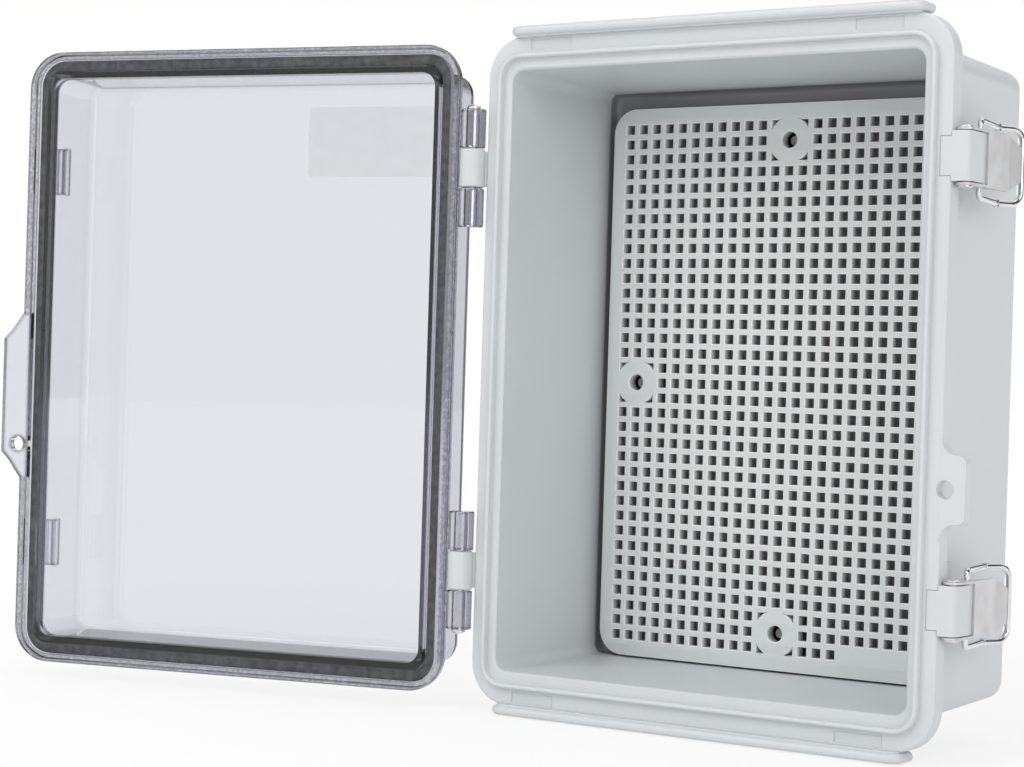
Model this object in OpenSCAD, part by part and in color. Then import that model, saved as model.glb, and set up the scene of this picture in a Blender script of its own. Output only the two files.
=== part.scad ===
// Hinged enclosure with a clear lid, a perforated mounting plate and two draw latches.
// Frame: +Z up, front towards -Y, hinges at -X, latches at +X.
// The origin is the centre of the rear mounting face. The lid stands open.

/* [Body] */
// Width of the rim flange
rim_w = 161; // [150:1:200]
// Height of the rim flange
rim_h = 214; // [205:1:260]
// Corner radius of the rim flange
rim_r = 13; // [10:0.5:18]
// Thickness of the rim flange, front to back
rim_t = 6.5; // [6:0.25:8]
// Depth from the rim face to the rear mounting face
body_depth = 71; // [69:1:110]
// Width of the mouth inside the rim
mouth_w = 143.2; // [140:0.2:143.2]
// Height of the mouth inside the rim
mouth_h = 192.6; // [188:0.2:192.6]
// Corner radius of the mouth
mouth_r = 4; // [3.5:0.25:5]
// Thickness of the side walls at the rim
wall_t = 3.8; // [3:0.1:4]
// Thickness of the top and bottom walls at the rim
end_wall_t = 3.3; // [2.8:0.1:4]
// Lean of the outer faces over the full depth, so that the moulding leaves its tool
draft = 1.9; // [1.2:0.1:2]
// Lean of the inner faces over the full depth
cavity_draft = 1.2; // [0.8:0.1:1.4]
// Thickness of the floor with its rear ribs
floor_t = 7.5; // [7.5:0.25:10]
// Rounding of the rear edges
rear_edge_r = 5.5; // [3:0.5:5.5]

/* [Seal] */
// Distance from the mouth to the centre line of the tongue
tongue_out = 3.5; // [3:0.1:3.7]
// Width of the tongue
tongue_w = 1.5; // [1.2:0.1:1.8]
// Height of the tongue above the rim face
tongue_h = 2.3; // [1.8:0.1:2.4]
// Corner radius of the tongue's centre line
tongue_r = 7; // [6:0.25:9]
// Width of the gasket
gasket_w = 3.7; // [3.2:0.1:3.8]
// Depth of the gasket groove below the lid's sealing face
groove_depth = 4.9; // [4.6:0.1:5.2]
// Gap between the tongue's crest and the gasket
seal_gap = 0.3; // [0.3:0.05:0.5]

/* [Rain hoods] */
// Length of the rain hood along the top and the bottom of the rim
hood_len = 143; // [110:1:143]
// Thickness of a rain hood
hood_t = 3; // [2.4:0.2:3.6]
// Reach of a rain hood in front of the rim face
hood_reach = 3.5; // [2.5:0.25:4]
// Radius at the ends of a rain hood, seen from above
hood_turn = 4; // [3:0.5:6]

/* [Lid] */
// Width of the lid's flange
lid_w = 160.6; // [159:0.2:160.8]
// Height of the lid's flange
lid_h = 210.6; // [210:0.2:212.4]
// Thickness of the lid's flange
lid_flange_t = 3; // [2.6:0.2:3.6]
// Gap between the rim face and the lid's sealing face when shut
lid_gap = 0.3; // [0.3:0.05:0.5]
// Depth of the clear lid, front panel included
lid_depth = 31.5; // [28:0.5:36]
// Thickness of the clear front panel
panel_t = 2.7; // [2.2:0.1:3.2]
// Wall of the clear box behind the front panel
lid_wall = 3.1; // [2.8:0.1:3.4]
// Rounding of the lid's front edges
lid_edge_r = 4; // [3:0.5:5]
// Angle at which the lid stands open
lid_angle = 166.5; // [150:0.1:168]

/* [Hinges] */
// Distance of the hinge axis from the side of the rim
hinge_out = 4.5; // [4.5:0.1:5.5]
// Distance of the hinge axis in front of the rim face
hinge_fwd = 1.5; // [1.4:0.1:1.8]
// Distance of each hinge's middle from the nearer end of the rim
hinge_end = 42; // [32:0.5:47]
// Outer radius of the knuckles
knuckle_r = 4.1; // [3.6:0.1:4.1]
// Length of the body's knuckle
body_knuckle = 12.4; // [10:0.2:16]
// Length of each lid knuckle
lid_knuckle = 12.6; // [11:0.2:14]
// Gap between neighbouring knuckles
knuckle_gap = 0.3; // [0.3:0.05:0.5]
// Radius of the hinge pins
pin_r = 1.5; // [1.2:0.1:1.8]
// Radius of the domed head of a hinge pin
pin_head_r = 2.3; // [2:0.1:2.6]

/* [Latches] */
// Distance of each latch's middle from the nearer end of the rim
latch_end = 42; // [32:0.5:49]
// Width of the moulded latch block
block_w = 14.5; // [12:0.5:16]
// Length of the latch block along the depth
block_len = 11; // [10.5:0.25:11]
// Distance from the side of the rim to the lever's pin
pivot_out = 3; // [3:0.1:3.3]
// Distance of the lever's pin behind the rim face
pivot_back = 3.5; // [3.2:0.1:4]
// Thickness of the lever's sheet
sheet_t = 0.8; // [0.6:0.05:0.85]
// Length of the lever's plate
plate_len = 20.5; // [19:0.5:22]
// Distance from the lever's pin to the bail's pivot, along the depth
bail_back = 8.8; // [8.6:0.1:9.4]
// Length of the bail's arms from the pivot to their bend
bail_arm = 19.8; // [19:0.2:20.6]
// Length of the bail's hooked end, from the bend to the cross wire
bail_hook = 9.3; // [9:0.1:9.6]
// Angle by which the resting bail's arms lean towards the wall
bail_lean = 8; // [6:0.5:9]
// Angle by which the arms turn outwards at their bend
bail_bend = 36; // [34:1:38]
// Radius of the bail's wire
wire_r = 0.9; // [0.7:0.05:1]
// Distance between the centre lines of the bail's arms
bail_w = 22.4; // [21.8:0.2:24]
// Angle through which the bail swings to its catch
bail_swing = 191.5; // [191:0.25:192.5]

/* [Padlock tabs] */
// Height of the padlock hole relative to the middle
lock_z = -30.4; // [-35:0.2:-26]
// Distance of the padlock hole from the side of the rim
lock_out = 1.2; // [1:0.1:1.6]
// Radius of the padlock hole
lock_r = 2.7; // [2.2:0.1:3]
// Thickness of the body's padlock tab
lock_t = 4; // [3:0.25:5]

/* [Mounting plate] */
// Distance between neighbouring holes of the plate
pitch = 5; // [5:0.1:5.2]
// Side of a square hole
hole_side = 3.1; // [2.8:0.1:3.6]
// Thickness of the plate
plate_t = 4; // [3:0.5:5]
// Height of the bosses that carry the plate
boss_h = 4.2; // [4:0.1:12]
// Corner radius of the plate
plate_r = 8.5; // [6:0.5:12]
// Radius of the plain disc round a screw hole
disc_r = 7.5; // [6.5:0.25:8]
// Radius of a screw hole in the plate
screw_r = 2.7; // [2.2:0.1:3]
// Height of the plate's middle relative to the body's middle
plate_z = -2.6; // [-4:0.1:0]

/* [Rear inserts] */
// Width between the rear inserts
rear_w = 116; // [108:1:118]
// Height between the rear inserts
rear_h = 166; // [160:1:168]
// Inner radius of a rear insert
rear_hole_r = 2.1; // [1.6:0.1:2.2]
// Length of a rear insert
rear_insert_len = 6; // [5:0.25:6]

/* [Hidden] */
$fn = 48;

// Extra length that carries a cut clear of the face it starts from
over = 1;
// Depth by which an added form is rooted in the piece that carries it
root = 0.5;

// Body
rim_x = rim_w / 2;
rim_z = rim_h / 2;
rim_y = -body_depth;
rim_edge_r = 0.8;
mouth_x = mouth_w / 2;
mouth_z = mouth_h / 2;
mouth_chamfer = 0.6;
shell_x = mouth_x + wall_t;
shell_z = mouth_z + end_wall_t;
shell_r = mouth_r + wall_t + 0.4;
floor_y = body_depth - floor_t;
floor_edge_r = 1.8;
// Wall positions at a depth behind the rim face
function wall_x(y) = shell_x - draft * y / body_depth;
function cavity_x(y) = mouth_x - cavity_draft * y / floor_y;
function cavity_z(y) = mouth_z - cavity_draft * y / floor_y;

// Rear face: shallow pocket that leaves a frame and four corner pads
pocket_depth = 3.5;
frame_land = 10;
pad_side = 29;
pocket_x = shell_x - draft - frame_land;
pocket_z = shell_z - draft - frame_land;
pocket_r = 4;

// Shallow rectangles near the corners of the rim face
mark_w = 15.3;
mark_h = 3.3;
mark_deep = 0.35;
mark_in = 1.1;
mark_x = rim_x - 23.6;
mark_z = rim_z - mark_h / 2 - mark_in;

// Tongue, gasket and groove share one centre line
tongue_x = mouth_x + tongue_out;
tongue_z = mouth_z + tongue_out + 0.85;
groove_side_gap = 0.2;
groove_w = gasket_w + 2 * groove_side_gap;
groove_floor = -lid_gap - groove_depth;
gasket_front = -tongue_h - seal_gap;
gasket_edge_r = 0.9;

// Lid, drawn shut: its sealing face lies at -lid_gap from the rim face
lid_x = lid_w / 2;
lid_z = lid_h / 2;
lid_r = 12.5;
lid_flange_edge_r = 0.6;
channel_wall = 1.7;
channel_x = tongue_x + groove_w / 2 + channel_wall;
channel_z = tongue_z + groove_w / 2 + channel_wall;
channel_r = tongue_r + groove_w / 2 + channel_wall;
channel_floor = 1.4;
channel_front = groove_floor - channel_floor;
lid_mouth_x = mouth_x;
lid_mouth_z = mouth_z;
lid_mouth_r = 4.8;
lid_draft = 0.5;
box_x = lid_mouth_x + lid_wall;
box_z = lid_mouth_z + lid_wall;
box_r = lid_mouth_r + lid_wall;
lid_inner_r = 1;

// Hinges
hinge_z = rim_z - hinge_end;
hinge_x = -rim_x - hinge_out;
hinge_y = -hinge_fwd;
pin_fit = 0.05;
pin_press = 0.02;
knuckle_edge_r = 0.7;
lid_knuckle_z = body_knuckle / 2 + knuckle_gap;
hinge_half = lid_knuckle_z + lid_knuckle;
pin_head_h = 1.5;
pin_head_gap = 0.15;
web_ribs = 3;
web_rib_t = lid_knuckle / (2 * web_ribs - 1);
web_front = 3.6;
web_back = 0.6;
knuckle_block_back = 6.2;

// Latches: pivots and catch in the plane across the lid's free edge
latch_z = rim_z - latch_end;
pivot_x = rim_x + pivot_out;
pivot_y = pivot_back;
bail_x = pivot_x + 0.5;
bail_y = pivot_y + bail_back;
bail_dx = bail_hook * sin(bail_bend - bail_lean) - bail_arm * sin(bail_lean);
bail_dy = bail_hook * cos(bail_bend - bail_lean) + bail_arm * cos(bail_lean);
catch_x = bail_x + bail_dx * cos(bail_swing) + bail_dy * sin(bail_swing);
catch_y = bail_y - bail_dx * sin(bail_swing) + bail_dy * cos(bail_swing);
lever_pin_r = 1.2;
running_fit = 0.05;
block_out = 5.7;
block_tab_w = 11.4;
block_tab_in = 3.4;
block_tab_len = 5;
block_gap = 0.1;
block_front_r = 3;
cheek_gap = 0.3;
cheek_in = block_w / 2 + cheek_gap;
cheek_out = cheek_in + sheet_t;
cheek_r = 2.7;
bail_eye_r = 2.2;
plate_in_x = rim_x + block_out - 0.2;
plate_front_y = block_len + 1;
plate_bend = 15.7;
bend_out = 1.7;
tip_run = 5.6;
tip_cut = 3.2;
cheek_tail = 12;
head_gap = 0.05;
head_h = 0.9;
head_r = 2.3;
bail_eye_turn = wire_r + 0.4;
bail_kink = 0.1;
bail_corner_r = 3.8;
pad_w = 26;
pad_len = 13;
pad_t = 1.4;
catch_w = 16;
catch_lip = 1;
catch_wire_gap = 0.3;

// Padlock tabs
lock_x = rim_x + lock_out;
lock_relief_r = lock_r + 1.5;
tab_out = 7.5;
tab_h = 19.8;
tab_r = 2.6;
tab_root_r = 4.4;
lid_tab_out = 7.2;
lid_tab_top = 38;
lid_tab_bottom = 4.2;
lid_tab_slope = 8;
lid_tab_r = 3;

// Mounting plate: as many holes as fit between the walls, on both sides of its centre
plate_y = floor_y - boss_h - plate_t;
plate_back = plate_y + plate_t;
plate_border = 4.85;
plate_end_border = plate_border + 0.5;
plate_side_gap = 3;
plate_end_gap = 0.3;
room_x = cavity_x(plate_back) - plate_side_gap - plate_border - hole_side / 2;
room_z = cavity_z(plate_back) - abs(plate_z) - plate_end_gap - plate_end_border - hole_side / 2;
half_cols = floor(room_x / pitch);
half_rows = floor(room_z / pitch);
plate_w = 2 * (half_cols * pitch + plate_border) + hole_side;
plate_h = 2 * (half_rows * pitch + plate_end_border) + hole_side;
// Places of the screw holes as columns and rows from the centre
plate_screws = [[0, half_rows - 1], [1 - half_cols, 0], [half_cols - 1, 0], [0, 1 - half_rows]];
plain_from = 4;
boss_r = 5.2;
insert_r = 2.4;
insert_hole_r = 1.6;
insert_len = 6.5;
insert_fit = 0.02;
rear_insert_r = 3.4;

// Colours
moulding = [0.82, 0.85, 0.86];
plate_grey = [0.66, 0.68, 0.68];
steel = [0.78, 0.79, 0.80];
brass = [0.80, 0.66, 0.32];

// ---- profiles and sweeps ----

// Edge of a slab: x runs outward from the corner axis, y along the depth from front to back
module edge_profile(front, back, y0, y1, front_r = 0, back_r = 0) {
    polygon([
        [0, y0], [front - front_r, y0], [front, y0 + front_r],
        [back, y1 - back_r], [back - back_r, y1], [0, y1]
    ]);
    if (front_r > 0) translate([front - front_r, y0 + front_r]) mirror([0, 1]) quarter_disc(front_r);
    if (back_r > 0) translate([back - back_r, y1 - back_r]) quarter_disc(back_r);
}

module quarter_disc(r) {
    intersection() {
        circle(r);
        square(r);
    }
}

// Turns a profile a quarter of the way round an axis along the depth, into +X and +Z
module corner_turn() {
    rotate([-90, 0, 0]) rotate([0, 0, -90]) rotate_extrude(angle = 90) children();
}

module in_four_corners() {
    for (flip_x = [0, 1], flip_z = [0, 1]) mirror([flip_x, 0, 0]) mirror([0, 0, flip_z]) children();
}

// Slab with rounded corners whose edge follows the given profile
module slab(half_x, half_z, corner_r, y0, y1) {
    run_x = half_x - corner_r;
    run_z = half_z - corner_r;
    linear_extrude(2 * run_z, center = true) slab_section(run_x, y0, y1) children();
    rotate([0, -90, 0]) linear_extrude(2 * run_x, center = true) slab_section(run_z, y0, y1) children();
    in_four_corners() translate([run_x, 0, run_z]) corner_turn() children();
}

module slab_section(run, y0, y1) {
    translate([-run, y0]) square([2 * run, y1 - y0]);
    translate([run, 0]) children();
    mirror([1, 0]) translate([run, 0]) children();
}

// Closed rounded frame that carries one cross-section all the way round
module frame_ring(half_x, half_z, corner_r) {
    run_x = half_x - corner_r;
    run_z = half_z - corner_r;
    for (flip = [0, 1]) {
        mirror([flip, 0, 0]) linear_extrude(2 * run_z, center = true) translate([half_x, 0]) children();
        mirror([0, 0, flip]) rotate([0, -90, 0]) linear_extrude(2 * run_x, center = true)
            translate([half_z, 0]) children();
    }
    in_four_corners() translate([run_x, 0, run_z]) corner_turn() translate([corner_r, 0]) children();
}

module rounded_rect(w, h, r) {
    square([w - 2 * r, h], center = true);
    square([w, h - 2 * r], center = true);
    for (sx = [-1, 1], sy = [-1, 1]) translate([sx * (w / 2 - r), sy * (h / 2 - r)]) circle(r);
}

// Lays an outline drawn in X and Z on the plane y, and gives it a thickness towards +Y
module facing(y, thick) {
    translate([0, y + thick, 0]) rotate([90, 0, 0]) linear_extrude(thick) children();
}

// Cylinder along the depth
module bore_y(r, y0, y1) {
    translate([0, y0, 0]) rotate([-90, 0, 0]) cylinder(h = y1 - y0, r = r);
}

// Cylinder upright, centred on its middle
module bar_z(r, length) {
    cylinder(h = length, r = r, center = true);
}

// Upright cylinder with rounded ends
module barrel(r, length, edge) {
    rotate_extrude() translate([0, -length / 2])
        edge_profile(r, r, 0, length, edge, edge);
}

// ---- enclosure body ----

module enclosure_body() {
    color(moulding) translate([0, rim_y, 0]) difference() {
        union() {
            slab(shell_x, shell_z, shell_r, 0, body_depth)
                edge_profile(shell_r, shell_r - draft, 0, body_depth, 0, rear_edge_r);
            slab(rim_x, rim_z, rim_r, 0, rim_t) edge_profile(rim_r, rim_r, 0, rim_t, rim_edge_r, rim_edge_r);
            tongue();
            rain_hood();
            mirror([0, 0, 1]) rain_hood();
            body_lock_tab();
            for (z = [-hinge_z, hinge_z]) translate([0, 0, z]) body_knuckle_block();
            for (z = [-latch_z, latch_z]) translate([0, 0, z]) latch_pad();
        }
        body_cavity();
        rim_marks();
        rear_pocket();
        for (z = [-latch_z, latch_z]) translate([0, 0, z]) block_pocket();
        for (z = [-hinge_z, hinge_z]) translate([hinge_x, hinge_y, z])
            bar_z(pin_r + pin_press, body_knuckle + 2 * over);
        translate([lock_x, 0, lock_z]) {
            bore_y(lock_r, -over, rim_t + over);
            bore_y(lock_relief_r, lock_t, rim_t + over);
        }
        for (place = plate_screws) translate([place[0] * pitch, 0, place[1] * pitch + plate_z])
            bore_y(insert_r + insert_fit, floor_y - boss_h - over, floor_y - boss_h + insert_len);
        in_four_corners() translate([rear_w / 2, 0, rear_h / 2])
            bore_y(rear_insert_r + insert_fit, body_depth - rear_insert_len, body_depth + over);
    }
}

module tongue() {
    frame_ring(tongue_x, tongue_z, tongue_r) {
        translate([-tongue_w / 2, tongue_w / 2 - tongue_h]) square([tongue_w, tongue_h - tongue_w / 2 + root]);
        translate([0, tongue_w / 2 - tongue_h]) circle(tongue_w / 2);
    }
}

module body_cavity() {
    difference() {
        slab(mouth_x, mouth_z, mouth_r, -over, floor_y)
            edge_profile(mouth_r, mouth_r - cavity_draft, -over, floor_y, 0, floor_edge_r);
        for (place = plate_screws) plate_boss(place);
    }
    slab(mouth_x + 2 * mouth_chamfer, mouth_z + 2 * mouth_chamfer, mouth_r + 2 * mouth_chamfer,
        -mouth_chamfer, mouth_chamfer)
        edge_profile(mouth_r + 2 * mouth_chamfer, mouth_r, -mouth_chamfer, mouth_chamfer);
}

module plate_boss(place) {
    translate([place[0] * pitch, 0, place[1] * pitch + plate_z]) bore_y(boss_r, floor_y - boss_h, body_depth);
}

// Ledge over the rim whose rounded nose turns the corner at both ends
module rain_hood() {
    bead_r = hood_t / 2;
    turn = hood_turn - bead_r;
    straight = hood_len / 2 - hood_turn;
    nose_y = bead_r - hood_reach;
    translate([0, 0, rim_z]) {
        translate([0, 0, -root]) linear_extrude(hood_t + root) {
            translate([-straight, nose_y]) square([2 * straight, rim_t - nose_y]);
            translate([-straight - turn, nose_y + turn])
                square([2 * (straight + turn), rim_t - nose_y - turn]);
            for (x = [-straight, straight]) translate([x, nose_y + turn]) circle(turn);
        }
        translate([0, nose_y, bead_r]) rotate([0, 90, 0]) cylinder(h = 2 * straight, r = bead_r, center = true);
        for (flip = [0, 1]) mirror([flip, 0, 0]) {
            translate([straight, nose_y + turn, bead_r]) rotate([0, 0, -90])
                rotate_extrude(angle = 90) translate([turn, 0]) circle(bead_r);
            translate([straight + turn, 0, bead_r]) bore_y(bead_r, nose_y + turn, rim_t);
        }
    }
}

module body_lock_tab() {
    tab_x = rim_x + tab_out;
    translate([0, 0, lock_z]) facing(0, lock_t) {
        translate([rim_x - root, -tab_h / 2]) square([tab_out - tab_r + root, tab_h]);
        translate([rim_x, tab_r - tab_h / 2]) square([tab_out, tab_h - 2 * tab_r]);
        for (z = [tab_r - tab_h / 2, tab_h / 2 - tab_r]) translate([tab_x - tab_r, z]) circle(tab_r);
        for (flip = [0, 1]) mirror([0, flip]) translate([rim_x, tab_h / 2]) difference() {
            translate([-root, -root]) square(tab_root_r + root);
            translate([tab_root_r, tab_root_r]) circle(tab_root_r);
        }
    }
}

module body_knuckle_block() {
    translate([hinge_x, hinge_y, 0]) barrel(knuckle_r, body_knuckle, knuckle_edge_r);
    linear_extrude(body_knuckle - 2 * knuckle_edge_r, center = true) polygon([
        [hinge_x, hinge_y - knuckle_r + 1.6], [hinge_x, hinge_y], [hinge_x - knuckle_r, hinge_y],
        [hinge_x - knuckle_r, 2.2], [-rim_x - 2.2, knuckle_block_back],
        [root - rim_x, knuckle_block_back], [root - rim_x, rim_edge_r], [-rim_x, rim_edge_r]
    ]);
}

module latch_pad() {
    pad_face = wall_x(rim_t) + pad_t;
    translate([0, 0, -pad_w / 2]) linear_extrude(pad_w) polygon([
        [shell_x - wall_t, rim_t - root], [pad_face, rim_t - root],
        [pad_face, rim_t + pad_len - pad_t], [wall_x(rim_t + pad_len) - root, rim_t + pad_len],
        [shell_x - wall_t, rim_t + pad_len]
    ]);
}

module block_pocket() {
    pocket_w = block_tab_w + 2 * block_gap;
    translate([rim_x - block_tab_in - block_gap, -over, -pocket_w / 2])
        cube([block_tab_in + over + block_gap, over + block_tab_len, pocket_w]);
}

module rim_marks() {
    in_four_corners() translate([mark_x - mark_w / 2, -over, mark_z - mark_h / 2])
        cube([mark_w, over + mark_deep, mark_h]);
}

module rear_pocket() {
    facing(body_depth - pocket_depth, pocket_depth + over) {
        rounded_rect(2 * pocket_x, 2 * (shell_z - draft - pad_side), pocket_r);
        rounded_rect(2 * (shell_x - draft - pad_side), 2 * pocket_z, pocket_r);
    }
}

// ---- clear lid ----

// Turns what is drawn for the shut lid to the angle at which the lid stands open
module lid_opened() {
    translate([hinge_x, rim_y + hinge_y, 0]) rotate([0, 0, -lid_angle])
        translate([-hinge_x, -hinge_y, 0]) children();
}

module clear_lid() {
    color(moulding, 0.4) lid_opened() difference() {
        union() {
            slab(lid_x, lid_z, lid_r, -lid_gap - lid_flange_t, -lid_gap)
                edge_profile(lid_r, lid_r, -lid_gap - lid_flange_t, -lid_gap,
                    lid_flange_edge_r, lid_flange_edge_r);
            slab(channel_x, channel_z, channel_r, channel_front, -lid_gap - root)
                edge_profile(channel_r, channel_r, channel_front, -lid_gap - root, lid_flange_edge_r);
            slab(box_x, box_z, box_r, -lid_depth, -lid_gap - root)
                edge_profile(box_r - lid_draft, box_r, -lid_depth, -lid_gap - root, lid_edge_r);
            for (z = [-hinge_z, hinge_z]) translate([0, 0, z]) lid_knuckles();
            for (z = [-latch_z, latch_z]) translate([0, 0, z]) lid_catch();
            lid_lock_tab();
        }
        slab(lid_mouth_x, lid_mouth_z, lid_mouth_r, panel_t - lid_depth, over)
            edge_profile(lid_mouth_r - lid_draft, lid_mouth_r, panel_t - lid_depth, over, lid_inner_r);
        frame_ring(tongue_x, tongue_z, tongue_r)
            translate([-groove_w / 2, groove_floor]) square([groove_w, over - groove_floor]);
        for (z = [-latch_z, latch_z]) translate([0, 0, z]) catch_notch();
        for (z = [-hinge_z, hinge_z]) translate([hinge_x, hinge_y, z])
            bar_z(pin_r + pin_fit, 2 * (hinge_half + over));
        translate([lock_x, 0, lock_z]) bore_y(lock_r, -lid_gap - lid_flange_t - over, over);
    }
}

module lid_knuckles() {
    for (side = [-1, 1]) translate([0, 0, side * (lid_knuckle_z + lid_knuckle / 2)]) {
        translate([hinge_x, hinge_y, 0]) barrel(knuckle_r, lid_knuckle, knuckle_edge_r);
        for (rib = [0 : web_ribs - 1]) {
            rib_z = (2 * rib - web_ribs + 1) * web_rib_t - web_rib_t / 2;
            rib_trim = rib == 1 ? 0 : knuckle_edge_r / 2;
            translate([hinge_x, -web_front, rib_z + rib_trim])
                cube([root - lid_x - hinge_x, web_front - web_back, web_rib_t - 2 * rib_trim]);
        }
    }
}

// Lug on the lid's outer wall; the latched bail's cross wire lies in its notch
module lid_catch() {
    front = catch_y - wire_r;
    back = catch_y + wire_r + catch_wire_gap + catch_lip;
    inner = box_x - lid_draft - root;
    outer = catch_x + wire_r + catch_wire_gap + catch_lip;
    translate([0, 0, -catch_w / 2]) linear_extrude(catch_w)
        polygon([[inner, back + catch_lip], [outer, back], [outer, front], [inner, front]]);
}

module catch_notch() {
    notch_r = wire_r + catch_wire_gap;
    translate([catch_x, catch_y, 0]) {
        bar_z(notch_r, catch_w + 2 * over);
        translate([-notch_r, -notch_r - over, -catch_w / 2 - over])
            cube([2 * notch_r, notch_r + over, catch_w + 2 * over]);
    }
}

module lid_lock_tab() {
    out_x = rim_x + lid_tab_out;
    top = lock_z + lid_tab_top;
    bottom = lock_z - lid_tab_bottom;
    facing(-lid_gap - lid_flange_t, lid_flange_t) {
        polygon([
            [lid_x - 2 * root, bottom - lid_tab_slope], [lid_x - root, bottom - lid_tab_slope],
            [out_x - lid_tab_r, bottom - lid_tab_r / 2], [out_x, bottom + lid_tab_r / 2],
            [out_x, top - lid_tab_r / 2], [out_x - lid_tab_r, top + lid_tab_r / 2],
            [lid_x - root, top + lid_tab_slope], [lid_x - 2 * root, top + lid_tab_slope]
        ]);
    }
}

module lid_gasket() {
    color([0.27, 0.27, 0.30]) lid_opened() frame_ring(tongue_x, tongue_z, tongue_r) {
        translate([-gasket_w / 2, groove_floor])
            square([gasket_w, gasket_front - gasket_edge_r - groove_floor]);
        translate([gasket_edge_r - gasket_w / 2, groove_floor])
            square([gasket_w - 2 * gasket_edge_r, gasket_front - groove_floor]);
        for (side = [-1, 1]) translate([side * (gasket_w / 2 - gasket_edge_r), gasket_front - gasket_edge_r])
            circle(gasket_edge_r);
    }
}

// ---- hinge pins ----

// Pin with its domed head at the outer end: up for the upper hinge, down for the lower one
module hinge_pin(side) {
    color(steel) translate([hinge_x, rim_y + hinge_y, side * hinge_z]) mirror([0, 0, side < 0 ? 1 : 0]) {
        translate([0, 0, -hinge_half]) cylinder(h = 2 * hinge_half + pin_head_gap, r = pin_r);
        translate([0, 0, hinge_half + pin_head_gap]) domed_head(pin_head_r, pin_head_h);
    }
}

// Head with a spherical crown over a short straight rim
module domed_head(r, h) {
    rim = h / 3;
    crown = h - rim;
    ball = (r * r + crown * crown) / (2 * crown);
    cylinder(h = rim, r = r);
    intersection() {
        translate([0, 0, h - ball]) sphere(ball);
        cylinder(h = h, r = r);
    }
}

// ---- mounting plate ----

module mounting_plate() {
    color(plate_grey) translate([0, rim_y, plate_z]) facing(plate_y, plate_t) difference() {
        rounded_rect(plate_w, plate_h, plate_r);
        difference() {
            for (column = [-half_cols : half_cols], row = [-half_rows : half_rows])
                if (!is_plain(column, row)) translate([column * pitch, row * pitch]) square(hole_side, center = true);
            for (place = plate_screws) translate(pitch * place) circle(disc_r);
        }
        for (place = plate_screws) translate(pitch * place) circle(screw_r);
    }
}

// Holes that a disc swallows, and the end of the lowest row, are left out
function is_plain(column, row) =
    (row == -half_rows && column >= plain_from)
    || len([for (place = plate_screws) if (norm(place - [column, row]) < 0.5) 1]) > 0;

module plate_insert(place) {
    color(brass) translate([place[0] * pitch, rim_y, place[1] * pitch + plate_z]) difference() {
        bore_y(insert_r, floor_y - boss_h, floor_y - boss_h + insert_len);
        bore_y(insert_hole_r, floor_y - boss_h - over, floor_y - boss_h + insert_len + over);
    }
}

module plate_insert_top() plate_insert(plate_screws[0]);
module plate_insert_left() plate_insert(plate_screws[1]);
module plate_insert_right() plate_insert(plate_screws[2]);
module plate_insert_bottom() plate_insert(plate_screws[3]);

// ---- rear inserts ----

module rear_insert(side_x, side_z) {
    color(brass) translate([side_x * rear_w / 2, 0, side_z * rear_h / 2]) difference() {
        bore_y(rear_insert_r, -rear_insert_len, 0);
        bore_y(rear_hole_r, -rear_insert_len - over, over);
    }
}

module rear_insert_top_left() rear_insert(-1, 1);
module rear_insert_top_right() rear_insert(1, 1);
module rear_insert_bottom_left() rear_insert(-1, -1);
module rear_insert_bottom_right() rear_insert(1, -1);

// ---- latches ----

module at_latch(side) {
    translate([0, rim_y, side * latch_z]) children();
}

// Moulded block let into the rim; its front tab lies flush with the rim face
module latch_block(side) {
    color(moulding) at_latch(side) difference() {
        union() {
            translate([rim_x - block_tab_in, 0, -block_tab_w / 2])
                cube([block_tab_in + root, block_tab_len - block_gap, block_tab_w]);
            linear_extrude(block_w, center = true) translate([rim_x, 0]) {
                polygon([
                    [0, 0], [block_out - block_front_r, 0], [block_out, block_front_r],
                    [block_out, block_len - 1], [block_out - 1, block_len], [0, block_len]
                ]);
                translate([block_out - block_front_r, block_front_r]) mirror([0, 1]) quarter_disc(block_front_r);
                translate([block_out - 1, block_len - 1]) quarter_disc(1);
            }
        }
        translate([pivot_x, pivot_y, 0]) bar_z(lever_pin_r + pin_press, block_w + 2 * over);
    }
}

module lever_pin(side) {
    color(steel) at_latch(side) translate([pivot_x, pivot_y, 0]) {
        bar_z(lever_pin_r, 2 * (cheek_out + head_gap));
        for (flip = [0, 1]) mirror([0, 0, flip]) translate([0, 0, cheek_out + head_gap])
            domed_head(head_r, head_h);
    }
}

// Pressed sheet lever: two cheeks on the pin and a plate with a lifted, chamfered tip
module latch_lever(side) {
    color(steel) at_latch(side) difference() {
        union() {
            for (flip = [0, 1]) mirror([0, 0, flip]) translate([0, 0, cheek_in])
                linear_extrude(sheet_t) cheek_outline();
            lever_plate();
        }
        translate([pivot_x, pivot_y, 0]) bar_z(lever_pin_r + running_fit, 2 * (cheek_out + over));
        translate([bail_x, bail_y, 0]) bar_z(wire_r + running_fit, 2 * (cheek_out + over));
    }
}

module cheek_outline() {
    plate_out = plate_in_x + sheet_t;
    translate([pivot_x, pivot_y]) circle(cheek_r);
    translate([bail_x, bail_y]) circle(bail_eye_r);
    polygon([
        [pivot_x - cheek_r, pivot_y], [pivot_x + cheek_r, pivot_y], [plate_out, plate_front_y],
        [plate_out, plate_front_y + cheek_tail], [plate_in_x, plate_front_y + cheek_tail],
        [bail_x, bail_y + bail_eye_r], [bail_x - bail_eye_r, bail_y]
    ]);
}

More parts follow.
